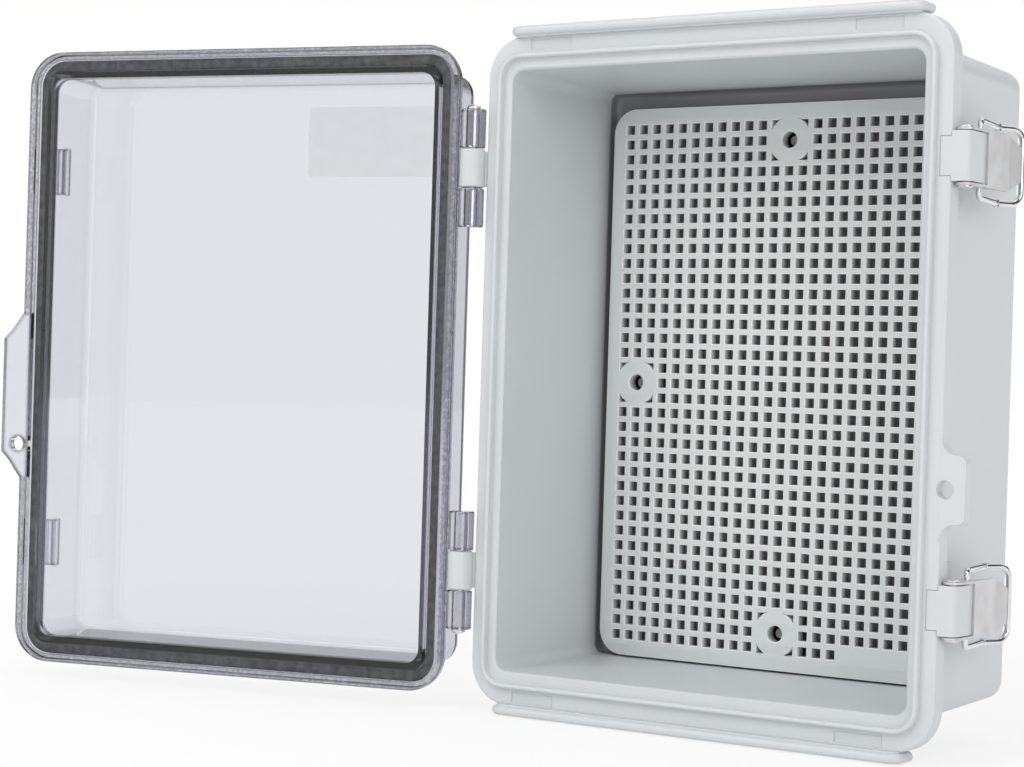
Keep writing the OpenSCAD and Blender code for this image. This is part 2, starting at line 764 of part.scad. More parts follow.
module lever_plate() {
    tip_y = plate_front_y + plate_len;
    bend_y = plate_front_y + plate_bend;
    intersection() {
        linear_extrude(2 * cheek_out, center = true) polygon([
            [plate_in_x, plate_front_y], [plate_in_x + sheet_t, plate_front_y],
            [plate_in_x + sheet_t, bend_y], [plate_in_x + sheet_t + bend_out, tip_y],
            [plate_in_x + bend_out, tip_y], [plate_in_x, bend_y]
        ]);
        translate([plate_in_x - over, 0, 0]) rotate([90, 0, 90]) linear_extrude(2 * over + sheet_t + bend_out)
            polygon([
                [plate_front_y, -cheek_out], [tip_y - tip_run, -cheek_out],
                [tip_y, tip_cut - cheek_out], [tip_y, cheek_out - tip_cut],
                [tip_y - tip_run, cheek_out], [plate_front_y, cheek_out]
            ]);
    }
}

// Wire bail: ends turned inward through the cheeks, arms kinked outwards, rounded corners, cross wire
module wire_bail(side) {
    half = bail_w / 2;
    hook_run = bail_hook - bail_corner_r;
    color(steel) at_latch(side) translate([bail_x, bail_y, 0]) rotate([0, 0, bail_lean]) {
        for (flip = [0, 1]) mirror([0, 0, flip]) {
            translate([0, 0, cheek_in]) cylinder(h = half - cheek_in - bail_eye_turn, r = wire_r);
            translate([0, bail_eye_turn, half - bail_eye_turn]) rotate([0, -90, 180]) wire_turn(bail_eye_turn);
            translate([0, bail_eye_turn, half]) wire_run(bail_arm - bail_eye_turn);
            translate([0, bail_arm, half]) rotate([0, 0, -bail_bend / 2])
                cylinder(h = 2 * (wire_r + bail_kink), r = wire_r + bail_kink, center = true, $fn = 8);
        }
        translate([0, bail_arm, 0]) rotate([0, 0, -bail_bend]) {
            for (flip = [0, 1]) mirror([0, 0, flip]) {
                translate([0, 0, half]) wire_run(hook_run);
                translate([0, hook_run, half - bail_corner_r]) rotate([0, -90, 0]) wire_turn(bail_corner_r);
            }
            translate([0, bail_hook, 0]) bar_z(wire_r, 2 * (half - bail_corner_r));
        }
    }
}

// Straight wire along the local Y axis
module wire_run(length) {
    rotate([-90, 0, 0]) cylinder(h = length, r = wire_r);
}

// Quarter turn of wire about the local Z axis, from +X to +Y
module wire_turn(bend_r) {
    rotate_extrude(angle = 90) translate([bend_r, 0]) circle(wire_r);
}

module upper_hinge_pin() hinge_pin(1);
module lower_hinge_pin() hinge_pin(-1);
module upper_latch_block() latch_block(1);
module lower_latch_block() latch_block(-1);
module upper_lever_pin() lever_pin(1);
module lower_lever_pin() lever_pin(-1);
module upper_latch_lever() latch_lever(1);
module lower_latch_lever() latch_lever(-1);
module upper_wire_bail() wire_bail(1);
module lower_wire_bail() wire_bail(-1);

enclosure_body();
clear_lid();
lid_gasket();
upper_hinge_pin();
lower_hinge_pin();
mounting_plate();
plate_insert_top();
plate_insert_left();
plate_insert_right();
plate_insert_bottom();
rear_insert_top_left();
rear_insert_top_right();
rear_insert_bottom_left();
rear_insert_bottom_right();
upper_latch_block();
lower_latch_block();
upper_lever_pin();
lower_lever_pin();
upper_latch_lever();
lower_latch_lever();
upper_wire_bail();
lower_wire_bail();
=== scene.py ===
"""Dressed model of a hinged wall enclosure with a clear lid, a perforated plate and two draw latches.

Every size is in metres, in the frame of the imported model: +Z up, front towards -Y, hinges at -X.
"""

import logging
import math
from dataclasses import dataclass, field
from enum import Enum
from typing import Any, Iterator, Mapping, Optional, Sequence, Union

import bmesh
import bpy
from mathutils import Matrix, Vector
from mathutils.geometry import tessellate_polygon


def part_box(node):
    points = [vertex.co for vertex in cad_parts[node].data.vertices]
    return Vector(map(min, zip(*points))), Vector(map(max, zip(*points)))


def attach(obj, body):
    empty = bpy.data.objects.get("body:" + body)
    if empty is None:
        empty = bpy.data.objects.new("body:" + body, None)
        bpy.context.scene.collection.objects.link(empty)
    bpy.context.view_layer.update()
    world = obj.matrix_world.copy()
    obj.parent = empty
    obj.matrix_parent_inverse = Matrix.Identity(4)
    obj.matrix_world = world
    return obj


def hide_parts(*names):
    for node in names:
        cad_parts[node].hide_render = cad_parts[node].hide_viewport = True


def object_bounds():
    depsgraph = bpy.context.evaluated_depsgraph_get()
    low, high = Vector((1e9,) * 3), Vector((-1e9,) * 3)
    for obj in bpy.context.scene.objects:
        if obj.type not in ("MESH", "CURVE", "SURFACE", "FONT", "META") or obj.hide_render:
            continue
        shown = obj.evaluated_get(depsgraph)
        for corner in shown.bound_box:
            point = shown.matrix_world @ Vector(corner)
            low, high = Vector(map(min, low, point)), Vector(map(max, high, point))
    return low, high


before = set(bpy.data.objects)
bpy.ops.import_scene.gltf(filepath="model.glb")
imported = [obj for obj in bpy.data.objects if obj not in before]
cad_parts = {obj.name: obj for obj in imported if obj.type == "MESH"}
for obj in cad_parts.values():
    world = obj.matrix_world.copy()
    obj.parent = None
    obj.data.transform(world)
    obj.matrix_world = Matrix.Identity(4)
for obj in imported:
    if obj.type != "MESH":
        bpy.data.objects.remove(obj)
CAD_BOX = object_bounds()

LOG = logging.getLogger("enclosure")
POLYCARBONATE_IOR = 1.58
LEAST_LEAN = 0.35
MM = 0.001
RIGHT, BACKWARD, UPWARD = (1.0, 0.0, 0.0), (0.0, 1.0, 0.0), (0.0, 0.0, 1.0)

Colour = tuple[float, float, float]
Point2 = tuple[float, float]
Stops = tuple[tuple[float, Colour], ...]
Value = Union["Signal", float, Sequence[float]]
Sockets = dict[Union[str, int], Value]


# ---- shader graphs ----


class Signal:
    """The value at a node's output, with arithmetic that adds nodes."""

    def __init__(self, graph: "Graph", socket: bpy.types.NodeSocket) -> None:
        """Wraps a socket.

        Args:
            graph: The graph that new nodes go to.
            socket: The output socket that carries the value.
        """
        self.graph = graph
        self.socket = socket

    def _join(self, operation: str, left: Value, right: Value) -> "Signal":
        """Adds the node that joins two values.

        Args:
            operation: Name of the arithmetic, as Math and Vector Math name it.
            left: First value.
            right: Second value.

        Returns:
            The result. A vector goes through Vector Math and a number through Math.
        """
        join = self.graph.vector if self.socket.type == "VECTOR" else self.graph.number
        return join(operation, left, right)

    def __add__(self, other: Value) -> "Signal":
        """Returns self + other."""
        return self._join("ADD", self, other)

    def __sub__(self, other: Value) -> "Signal":
        """Returns self - other."""
        return self._join("SUBTRACT", self, other)

    def __rsub__(self, other: Value) -> "Signal":
        """Returns other - self."""
        return self._join("SUBTRACT", other, self)

    def __mul__(self, other: Value) -> "Signal":
        """Returns self * other."""
        return self._join("MULTIPLY", self, other)


class Graph:
    """The node tree of a material or a world."""

    def __init__(self, owner: Union[bpy.types.Material, bpy.types.World]) -> None:
        """Starts an empty tree.

        Args:
            owner: The material or world that the tree belongs to.
        """
        owner.use_nodes = True
        self.tree = owner.node_tree
        self.tree.nodes.clear()

    def add(
        self,
        kind: str,
        settings: Optional[Mapping[str, Any]] = None,
        sockets: Optional[Sockets] = None,
        out: Union[str, int] = 0,
    ) -> Signal:
        """Adds a node.

        Args:
            kind: The node's type.
            settings: Properties set first. "stops" holds a ramp's (position, colour) pairs.
            sockets: A value or a link for each input that needs one.
            out: The output that is wanted.

        Returns:
            The wanted output, or an unused wrapper for a node without outputs.
        """
        node = self.tree.nodes.new(kind)
        for name, value in (settings or {}).items():
            if name == "stops":
                self._set_stops(node.color_ramp.elements, value)
            else:
                setattr(node, name, value)
        for key, value in (sockets or {}).items():
            if isinstance(value, Signal):
                self.tree.links.new(value.socket, node.inputs[key])
            else:
                node.inputs[key].default_value = value
        return Signal(self, node.outputs[out] if len(node.outputs) else None)

    @staticmethod
    def _set_stops(elements: Any, stops: Stops) -> None:
        """Sets a ramp's stops.

        Args:
            elements: The ramp's elements.
            stops: Pairs of position and colour, from low to high.
        """
        while len(elements) < len(stops):
            elements.new(0.5)
        for element, (position, colour) in zip(elements, stops):
            element.position = position
            element.color = (*colour, 1.0)

    def number(self, operation: str, *values: Value) -> Signal:
        """Returns the result of a Math node."""
        return self.add("ShaderNodeMath", {"operation": operation}, dict(enumerate(values)))

    def vector(self, operation: str, *values: Value, out: str = "Vector") -> Signal:
        """Returns the result of a Vector Math node."""
        settings = {"operation": operation}
        return self.add("ShaderNodeVectorMath", settings, dict(enumerate(values)), out)

    def ramp(self, value: Signal, stops: Stops) -> Signal:
        """Returns a colour from a ramp of (position, colour) stops."""
        return self.add("ShaderNodeValToRGB", {"stops": stops}, {0: value})

    def span(
        self, value: Signal, low: float, high: float, to_low: float = 0.0, to_high: float = 1.0
    ) -> Signal:
        """Returns value mapped from low..high to to_low..to_high and held at the ends."""
        sockets = {0: value, 1: low, 2: high, 3: to_low, 4: to_high}
        return self.add("ShaderNodeMapRange", {"clamp": True}, sockets)

    def blend(self, share: Value, first: Value, second: Value) -> Signal:
        """Returns a colour between two colours; share 0 gives the first."""
        sockets = {0: share, 6: rgba(first), 7: rgba(second)}
        return self.add("ShaderNodeMix", {"data_type": "RGBA"}, sockets, out=2)

    def place(self) -> Signal:
        """Returns the object coordinates, which are metres in the row frame."""
        return self.add("ShaderNodeTexCoord", out="Object")

    def along(self, direction: Sequence[float]) -> Signal:
        """Returns how far each point lies along a direction, in metres."""
        return self.vector("DOT_PRODUCT", self.place(), direction, out="Value")

    def band(self, value: Signal, low: float, high: float, soft: float) -> Signal:
        """Returns 1 where value lies between low and high, and 0 beyond them by more than soft."""
        return self.span(value, low - soft, low) * self.span(value, high, high + soft, 1.0, 0.0)

    def inset(self, across: Signal, half: Point2, corner: float) -> Signal:
        """Returns how far each point lies inside a rounded rectangle, up to its corner radius.

        Args:
            across: Sideways distance from the rectangle's middle.
            half: Half its width and half its height.
            corner: Its corner radius.

        Returns:
            The distance, which is negative outside.
        """
        flat = self.add("ShaderNodeCombineXYZ", {}, {"X": across, "Z": self.along(UPWARD)})
        middle = (half[0] - corner, 0.0, half[1] - corner)
        beyond = self.vector("SUBTRACT", self.vector("ABSOLUTE", flat), middle)
        outside = self.vector("MAXIMUM", beyond, (0.0, 0.0, 0.0))
        return corner - self.vector("LENGTH", outside, out="Value")

    def noise(
        self, scale: float, detail: float = 2.0, stretch: Sequence[float] = (1.0, 1.0, 1.0)
    ) -> Signal:
        """Returns noise with about `scale` features in a metre.

        Args:
            scale: Features in a metre.
            detail: Octaves of finer noise.
            stretch: Factor on the scale along each axis.

        Returns:
            A number from 0 to 1.
        """
        where = self.place() * tuple(stretch)
        return self.add("ShaderNodeTexNoise", {}, {"Vector": where, "Scale": scale, "Detail": detail})

    def rays(self, *kinds: str) -> list[Signal]:
        """Returns the named outputs of one Light Path node."""
        first = self.add("ShaderNodeLightPath", out=kinds[0])
        return [first] + [Signal(self, first.socket.node.outputs[kind]) for kind in kinds[1:]]

    def relief(
        self, height: Signal, depth: float, strength: float = 1.0, normal: Optional[Signal] = None
    ) -> Signal:
        """Returns a normal bumped by height.

        Args:
            height: The height, where 1 stands `depth` metres proud.
            depth: Metres between height 0 and height 1.
            strength: Share of the relief that shows.
            normal: The normal that is bumped, if it isn't the surface's own.

        Returns:
            The bumped normal.
        """
        sockets = {"Strength": strength, "Distance": depth, "Height": height}
        if normal is not None:
            sockets["Normal"] = normal
        return self.add("ShaderNodeBump", {}, sockets)

    def rounding(self, radius: float, samples: int) -> Signal:
        """Returns a normal that turns smoothly round the edges."""
        return self.add("ShaderNodeBevel", {"samples": samples}, {"Radius": radius})


def rgba(value: Value) -> Value:
    """Returns a colour with its alpha, or the signal as it is."""
    return value if isinstance(value, Signal) else (*value, 1.0)


def grey(level: float) -> Colour:
    """Returns a neutral colour."""
    return (level, level, level)


def linear(red: float, green: float, blue: float) -> Colour:
    """Returns the scene colour of a screen colour given in 0..255."""

    def channel(value: float) -> float:
        """Returns one channel's light."""
        share = value / 255.0
        return share / 12.92 if share <= 0.04045 else ((share + 0.055) / 1.055) ** 2.4

    return (channel(red), channel(green), channel(blue))


@dataclass(frozen=True)
class OpenLid:
    """Places on the open lid, from sizes measured on the shut lid behind its sealing face."""

    hinge: Point2 = (-85.0 * MM, -72.5 * MM)
    rim: float = -71.0 * MM
    angle: float = math.radians(166.5)
    half: Point2 = (80.3 * MM, 105.3 * MM)
    corner: float = 12.5 * MM

    def point(self, x: float, y: float, z: float) -> Vector:
        """Returns where a point of the shut lid lies now."""
        arm = Vector((x - self.hinge[0], self.rim + y - self.hinge[1]))
        arm.rotate(Matrix.Rotation(-self.angle, 2))
        return Vector((self.hinge[0] + arm.x, self.hinge[1] + arm.y, z))

    def _from_hinge(self, graph: Graph, x: float, y: float) -> Signal:
        """Returns how far each point lies from the hinge, along a direction of the shut lid."""
        axis = Vector((*self.hinge, 0.0))
        turned = self.point(self.hinge[0] + x, self.hinge[1] - self.rim + y, 0.0) - axis
        return graph.along(turned) - turned.dot(axis)

    def depth(self, graph: Graph) -> Signal:
        """Returns how far each point lies behind the sealing face."""
        return self._from_hinge(graph, 0.0, 1.0) + (self.hinge[1] - self.rim)

    def across(self, graph: Graph) -> Signal:
        """Returns how far each point lies from the lid's middle, away from the hinge."""
        return self._from_hinge(graph, 1.0, 0.0) + self.hinge[0]

    def inset(self, graph: Graph) -> Signal:
        """Returns how far each point lies inside the flange's outline."""
        return graph.inset(self.across(graph), self.half, self.corner)


LID = OpenLid()


# ---- finishes ----


@dataclass(frozen=True)
class Finish:
    """A surface finish. Each kind says how its colour, gloss and relief vary."""

    name: str
    colour: Colour

    def surface(self, graph: Graph) -> Sockets:
        """Returns the sockets of the main shader for this finish."""
        raise NotImplementedError

    def shade(self, factor: float) -> Colour:
        """Returns the finish's colour made darker or lighter."""
        return tuple(factor * channel for channel in self.colour)

    def material(self) -> bpy.types.Material:
        """Returns the finish as a material, made once."""
        known = bpy.data.materials.get(self.name)
        if known is not None:
            return known
        made = bpy.data.materials.new(self.name)
        made.diffuse_color = (*self.colour, 1.0)
        graph = Graph(made)
        shader = graph.add("ShaderNodeBsdfPrincipled", {}, self.surface(graph))
        sockets = {"Surface": self.outer(graph, shader), **self.inside(graph)}
        graph.add("ShaderNodeOutputMaterial", {}, sockets)
        return made

    def outer(self, graph: Graph, shader: Signal) -> Signal:
        """Returns the shader that the output shows."""
        return shader

    def inside(self, graph: Graph) -> dict[str, Signal]:
        """Returns the output's volume socket, if light passes through the material."""
        return {}


@dataclass(frozen=True)
class Moulding(Finish):
    """Opaque moulded plastic with a faint grain and soft edges."""

    roughness: float = 0.38
    edge: float = 0.4 * MM
    grain: float = 0.012 * MM
    grain_scale: float = 2600.0
    flow_scale: float = 14.0

    def surface(self, graph: Graph) -> Sockets:
        """Returns the sockets: flow marks in the colour, grain and soft edges in the relief."""
        flow = graph.noise(self.flow_scale, 3.0)
        fine = graph.noise(self.grain_scale, 3.0)
        return {
            "Base Color": graph.blend(graph.span(flow, 0.3, 0.7), self.colour, self.shade(0.955)),
            "Roughness": graph.span(fine, 0.3, 0.7, self.roughness - 0.04, self.roughness + 0.06),
            "Normal": graph.relief(fine, self.grain, 0.35, graph.rounding(self.edge, 6)),
            "IOR": POLYCARBONATE_IOR,
        }


@dataclass(frozen=True)
class BodyMoulding(Moulding):
    """Moulding of the body, with painted shade in the hollow behind the mounting plate."""

    painted_shade_factor: float = 0.42
    half: Point2 = (72.0 * MM, 96.6 * MM)
    corner: float = 5.0 * MM
    floor: float = -7.2 * MM

    def surface(self, graph: Graph) -> Sockets:
        """Returns the moulding's sockets, with a darker colour behind the plate as painted shade."""
        sockets = super().surface(graph)
        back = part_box("mounting_plate")[1][1]
        # Painted shade: the colour is darkened on the floor and walls of the hollow behind the plate,
        # where little light reaches.
        behind = graph.band(graph.along(BACKWARD), back, self.floor, 0.4 * MM)
        inside = graph.span(graph.inset(graph.along(RIGHT), self.half, self.corner), 0.0, 0.2 * MM)
        colour = graph.blend(behind * inside, sockets["Base Color"], self.shade(self.painted_shade_factor))
        return {**sockets, "Base Color": colour}


@dataclass(frozen=True)
class PlateMoulding(Moulding):
    """Moulding of the perforated plate: a painted highlight on the lips round its holes, and painted
    shade on the walls in them.
    """

    lip: float = 0.45 * MM
    face: float = 0.02 * MM
    painted_highlight_gain: float = 1.34
    brightest: float = 0.94
    painted_shade_factor: float = 0.42

    def surface(self, graph: Graph) -> Sockets:
        """Returns the moulding's sockets, with colour by depth behind the plate's face: a painted
        highlight on the lips and painted shade deeper in the holes.
        """
        sockets = super().surface(graph)
        deep = graph.along(BACKWARD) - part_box("mounting_plate")[0][1]
        # Painted highlight: a lighter colour on the rounded lips round the holes.
        bright = tuple(min(self.brightest, channel) for channel in self.shade(self.painted_highlight_gain))
        lip = graph.band(deep, self.face, self.lip, self.face)
        lips = graph.blend(lip, sockets["Base Color"], bright)
        # Painted shade: the colour darkens down the walls inside the holes.
        wall = graph.span(deep, 2 * self.lip, 8 * self.lip)
        return {**sockets, "Base Color": graph.blend(wall, lips, self.shade(self.painted_shade_factor))}


@dataclass(frozen=True)
class ClearPlastic(Finish):
    """Clear polycarbonate, darker along its depth, that lets light from lamps through."""

    roughness: float = 0.0
    density: float = 72.0
    body: Colour = (0.0, 0.014, 0.139)
    sawn: float = 0.3
    # Width and colour factor of the painted shade band on the flange's border.
    painted_band_width: float = 2.3 * MM
    painted_band_shade: float = 0.45
    edge: float = 2.0 * MM
    # Colour factor of the painted shade at the edges.
    painted_edge_shade: float = 0.22
    flange_front: float = -3.6 * MM
    tab: Point2 = (-41.0 * MM, 14.0 * MM)
    tab_from: float = 60.0 * MM
    wave_scale: float = 45.0
    scratch_scale: float = 900.0

    def surface(self, graph: Graph) -> Sockets:
        """Returns the sockets: a clear body, wavy from moulding, with a scratched flange, a painted
        shade band on its border and painted shade at its edges.
        """
        waves = graph.noise(self.wave_scale, 1.0)
        scratches = graph.noise(self.scratch_scale, 3.0)
        flange = graph.span(LID.depth(graph), self.flange_front, self.flange_front + 0.3 * MM)
        # Painted shade: a noisy darker band on the flange's border stands for its side wall seen dark
        # through the clear plastic.
        painted_band = self._border(graph, flange) * graph.span(scratches, 0.3, 0.6)
        tint = graph.blend(painted_band, self.colour, self.shade(self.painted_band_shade))
        rough = self.roughness
        wavy = graph.relief(waves, 0.05 * MM, 0.25)
        return {
            # Painted shade: the colour is darker where the surface turns at edges and fillets.
            "Base Color": graph.blend(self._edges(graph), tint, self.shade(self.painted_edge_shade)),
            "Roughness": graph.span(flange * scratches, 0.3, 0.7, rough, rough + 0.18),
            "IOR": POLYCARBONATE_IOR,
            "Transmission Weight": 1.0,
            "Normal": graph.relief(scratches * flange, 0.1 * MM, self.sawn, wavy),
        }

    def _border(self, graph: Graph, flange: Signal) -> Signal:
        """Returns 1 on the flange's border, where shade is painted, and 0 elsewhere, the finger tab
        too.
        """
        border = flange * graph.band(LID.inset(graph), -0.3 * MM, self.painted_band_width, 0.3 * MM)
        level = graph.band(graph.along(UPWARD), *self.tab, 0.5 * MM)
        beside = graph.span(LID.across(graph), self.tab_from, self.tab_from + 2.0 * MM)
        return border * (1.0 - level * beside)

    def _edges(self, graph: Graph) -> Signal:
        """Returns 1 at the edges and 0 on the flat faces."""
        flat = graph.add("ShaderNodeNewGeometry", out="True Normal")
        square = graph.vector("DOT_PRODUCT", graph.rounding(self.edge, 4), flat, out="Value")
        return graph.span(square, 0.72, 0.97, 1.0, 0.0)

    def outer(self, graph: Graph, shader: Signal) -> Signal:
        """Returns the shader with a clear path for the rays that lamps send through it."""
        lamp_ray, = graph.rays("Is Shadow Ray")
        clear = graph.add("ShaderNodeBsdfTransparent", {}, {"Color": rgba(grey(0.9))})
        return graph.add("ShaderNodeMixShader", {}, {0: lamp_ray, 1: shader, 2: clear})

    def inside(self, graph: Graph) -> dict[str, Signal]:
        """Returns the volume that takes light away along its path."""
        sockets = {"Color": rgba(self.body), "Density": self.density}
        return {"Volume": graph.add("ShaderNodeVolumeAbsorption", {}, sockets)}


@dataclass(frozen=True)
class FrostedFilm(Finish):
    """Thin film that scatters what is seen through it."""

    roughness: float = 0.28

    def surface(self, graph: Graph) -> Sockets:
        """Returns the sockets: a milky film with fine clouding."""
        cloud = graph.noise(300.0, 3.0)
        return {
            "Base Color": graph.blend(graph.span(cloud, 0.3, 0.7), self.colour, self.shade(0.97)),
            "Roughness": graph.span(cloud, 0.3, 0.7, self.roughness, self.roughness + 0.1),
            "IOR": 1.3,
            "Transmission Weight": 1.0,
        }


@dataclass(frozen=True)
class FoamRubber(Finish):
    """Dull dark foam with fine open cells."""

    def surface(self, graph: Graph) -> Sockets:
        """Returns the sockets: mottled colour and pores."""
        cells = graph.add("ShaderNodeTexVoronoi", {}, {"Vector": graph.place(), "Scale": 2600.0})
        cloud = graph.noise(420.0, 4.0)
        return {
            "Base Color": graph.blend(graph.span(cloud, 0.35, 0.7), self.colour, self.shade(2.2)),
            "Roughness": graph.span(cloud, 0.3, 0.7, 0.55, 0.75),
            "Normal": graph.relief(cells, 0.12 * MM, 0.5),
        }


@dataclass(frozen=True)
class BrightMetal(Finish):
    """Plated or drawn metal with faint lines along it."""

    roughness: float = 0.12
    metallic: float = 1.0
    lines: Colour = (1.0, 1.0, 0.02)
    edge: float = 0.18 * MM

    def surface(self, graph: Graph) -> Sockets:
        """Returns the sockets: fine lines in the relief and a little wear in the gloss."""
        drawn = graph.noise(5200.0, 2.0, self.lines)
        wear = graph.noise(160.0, 3.0)
        return {
            "Base Color": graph.blend(graph.span(wear, 0.35, 0.75), self.colour, self.shade(0.86)),
            "Metallic": self.metallic,
            "Roughness": graph.span(wear, 0.3, 0.7, self.roughness, self.roughness + 0.08),
            "Normal": graph.relief(drawn, 0.01 * MM, 0.3, graph.rounding(self.edge, 6)),
        }


@dataclass(frozen=True)
class Knurled(Finish):
    """Turned brass with a fine knurl."""

    def surface(self, graph: Graph) -> Sockets:
        """Returns the sockets: a cross-cut pattern in the relief and tarnish in the colour."""
        sockets = {"Vector": graph.place(), "Scale": 1600.0}
        cut = graph.add("ShaderNodeTexVoronoi", {"distance": "MANHATTAN"}, sockets)
        tarnish = graph.noise(500.0, 3.0)
        return {
            "Base Color": graph.blend(graph.span(tarnish, 0.3, 0.7), self.colour, self.shade(0.6)),
            "Metallic": 1.0,
            "Roughness": graph.span(tarnish, 0.3, 0.7, 0.28, 0.45),
            "Normal": graph.relief(cut, 0.08 * MM, 0.6),
        }


@dataclass(frozen=True)
class Backdrop(Finish):
    """White paper that keeps the object's shadow."""

    near: float = 0.22
    far: float = 0.5
    lift: float = 0.8

    def surface(self, graph: Graph) -> Sockets:
        """Returns the sockets: white paper with a faint mottling."""
        mottle = graph.noise(3.0, 2.0)
        return {
            "Base Color": graph.blend(mottle, self.colour, self.shade(0.99)),
            "Roughness": 0.9,
            "Specular IOR Level": 0.1,
        }

    def outer(self, graph: Graph, shader: Signal) -> Signal:
        """Returns the shader lifted towards white where it is seen."""
        seen, glossy, through = graph.rays("Is Camera Ray", "Is Glossy Ray", "Is Transmission Ray")
        glow = graph.add("ShaderNodeEmission", {}, {"Color": rgba(grey(1.0)), "Strength": 1.0})
        away = graph.vector("LENGTH", graph.place(), out="Value")
        share = graph.span(away, self.near, self.far, self.lift, 1.0)
        lifted = graph.span(seen + glossy + through, 0.0, 1.0) * share
        return graph.add("ShaderNodeMixShader", {}, {0: lifted, 1: shader, 2: glow})


@dataclass(frozen=True)
class Finishes:
    """The finishes of this enclosure."""

    moulding: Finish = Moulding("pale_grey_moulding", linear(214, 218, 220))
    body: Finish = BodyMoulding("pale_grey_body", linear(214, 218, 220))
    plate: Finish = PlateMoulding(
        "mid_grey_moulding", linear(218, 223, 221), roughness=0.45, edge=0.1 * MM
    )
    clear: Finish = ClearPlastic("clear_polycarbonate", (0.94, 0.945, 0.985))
    frosted: Finish = FrostedFilm("frosted_film", (0.995, 0.998, 0.985))
    foam: Finish = FoamRubber("charcoal_foam", linear(66, 66, 70))
    chrome: Finish = BrightMetal("bright_plated_steel", (0.78, 0.79, 0.80), roughness=0.08)
    satin: Finish = BrightMetal(
        "satin_stainless", (0.69, 0.69, 0.70), roughness=0.36, metallic=0.45, lines=(1.0, 1.0, 0.03)
    )
    brass: Finish = Knurled("knurled_brass", (0.72, 0.55, 0.26))


FINISHES = Finishes()


# ---- mesh code ----


class Shell:
    """Collects points and faces of one piece."""

    def __init__(self) -> None:
        """Starts with no points."""
        self.points: list[Vector] = []
        self.faces: list[tuple[int, ...]] = []

    def add_points(self, points: Sequence[Sequence[float]]) -> list[int]:
        """Adds points and returns their numbers."""
        start = len(self.points)
        self.points.extend(Vector(point) for point in points)
        return list(range(start, len(self.points)))

    def add_loop_wall(self, first: Sequence[int], second: Sequence[int]) -> None:
        """Joins two closed loops of equal length with a band of quads."""
        count = len(first)
        for i in range(count):
            j = (i + 1) % count
            self.faces.append((first[i], first[j], second[j], second[i]))

    def add_flat(self, outlines: Sequence[Sequence[int]], flip: bool = False) -> None:
        """Fills the flat area between an outer outline and the outlines of its holes.

        Args:
            outlines: Point numbers of the outer outline first, then of each hole.
            flip: Turns the faces over.
        """
        numbers = [number for outline in outlines for number in outline]
        for a, b, c in tessellate_polygon([[self.points[n] for n in outline] for outline in outlines]):
            triangle = (numbers[a], numbers[b], numbers[c])
            self.faces.append(triangle[::-1] if flip else triangle)

    def build(
        self, name: str, finish: Finish, weld: float = 1e-6, smooth: float = 35.0
    ) -> bpy.types.Object:
        """Makes the piece's object.

        Args:
            name: Name of the piece.
            finish: Its finish.
            weld: Distance below which points become one.
            smooth: Angle in degrees below which an edge is shaded smooth.

        Returns:
            The object, linked to the scene.
        """
        mesh = bpy.data.meshes.new(name)
        mesh.from_pydata([tuple(point) for point in self.points], [], self.faces)
        work = bmesh.new()
        work.from_mesh(mesh)
        bmesh.ops.remove_doubles(work, verts=work.verts, dist=weld)
        bmesh.ops.recalc_face_normals(work, faces=work.faces)
        work.to_mesh(mesh)
        work.free()
        mesh.shade_smooth()
        mesh.set_sharp_from_angle(angle=math.radians(smooth))
        made = bpy.data.objects.new(name, mesh)
        bpy.context.scene.collection.objects.link(made)
        made.data.materials.append(finish.material())
        return made


def offset_outline(outline: Sequence[Point2], distance: float) -> list[Point2]:
    """Returns a closed anticlockwise outline moved outward by a distance.

    Args:
        outline: Points in order, anticlockwise.
        distance: How far each side moves outward.

    Returns:
        One point for each point given.
    """
    moved = []
    count = len(outline)
    for i, (x, z) in enumerate(outline):
        before, after = outline[i - 1], outline[(i + 1) % count]
        first = Vector((x - before[0], z - before[1])).normalized()
        second = Vector((after[0] - x, after[1] - z)).normalized()
        normal = Vector((first.y + second.y, -first.x - second.x))
        normal.normalize()
        lean = max(LEAST_LEAN, normal.dot(Vector((first.y, -first.x))))
        moved.append((x + normal.x * distance / lean, z + normal.y * distance / lean))
    return moved


def arc(centre: Point2, radius: float, start: float, end: float, steps: int) -> list[Point2]:
    """Returns points along an arc, both ends included; angles in degrees."""
    angles = [math.radians(start + (end - start) * i / steps) for i in range(steps + 1)]
    return [(centre[0] + radius * math.cos(a), centre[1] + radius * math.sin(a)) for a in angles]


def rounded_outline(half_x: float, half_z: float, radius: float, steps: int = 10) -> list[Point2]:
    """Returns a rounded rectangle about the origin, anticlockwise."""
    x, z = half_x - radius, half_z - radius
    corners = (((x, -z), -90.0), ((x, z), 0.0), ((-x, z), 90.0), ((-x, -z), 180.0))
    return [p for centre, start in corners for p in arc(centre, radius, start, start + 90.0, steps)]


# ---- sub-assemblies ----


def dress(names: Sequence[str], finish: Finish) -> None:
    """Gives CAD nodes a finish in all their material slots."""
    for name in names:
        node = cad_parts[name]
        for slot in node.material_slots:
            slot.material = finish.material()
        LOG.info("%s: %s", name, finish.name)


class Side(Enum):
    """Upper or lower copy of a part that comes twice."""

    UPPER = "upper"
    LOWER = "lower"


@dataclass
class Case:
    """The moulded body with its inserts and latch blocks."""

    blocks: tuple[str, ...] = ("upper_latch_block", "lower_latch_block")
    inserts: tuple[str, ...] = (
        "rear_insert_top_left",
        "rear_insert_top_right",
        "rear_insert_bottom_left",
        "rear_insert_bottom_right",
        "plate_insert_top",
        "plate_insert_left",
        "plate_insert_right",
        "plate_insert_bottom",
    )

    def build(self) -> None:
        """Dresses the body's nodes."""
        dress(["enclosure_body"], FINISHES.body)
        dress(self.blocks, FINISHES.moulding)
        dress(self.inserts, FINISHES.brass)


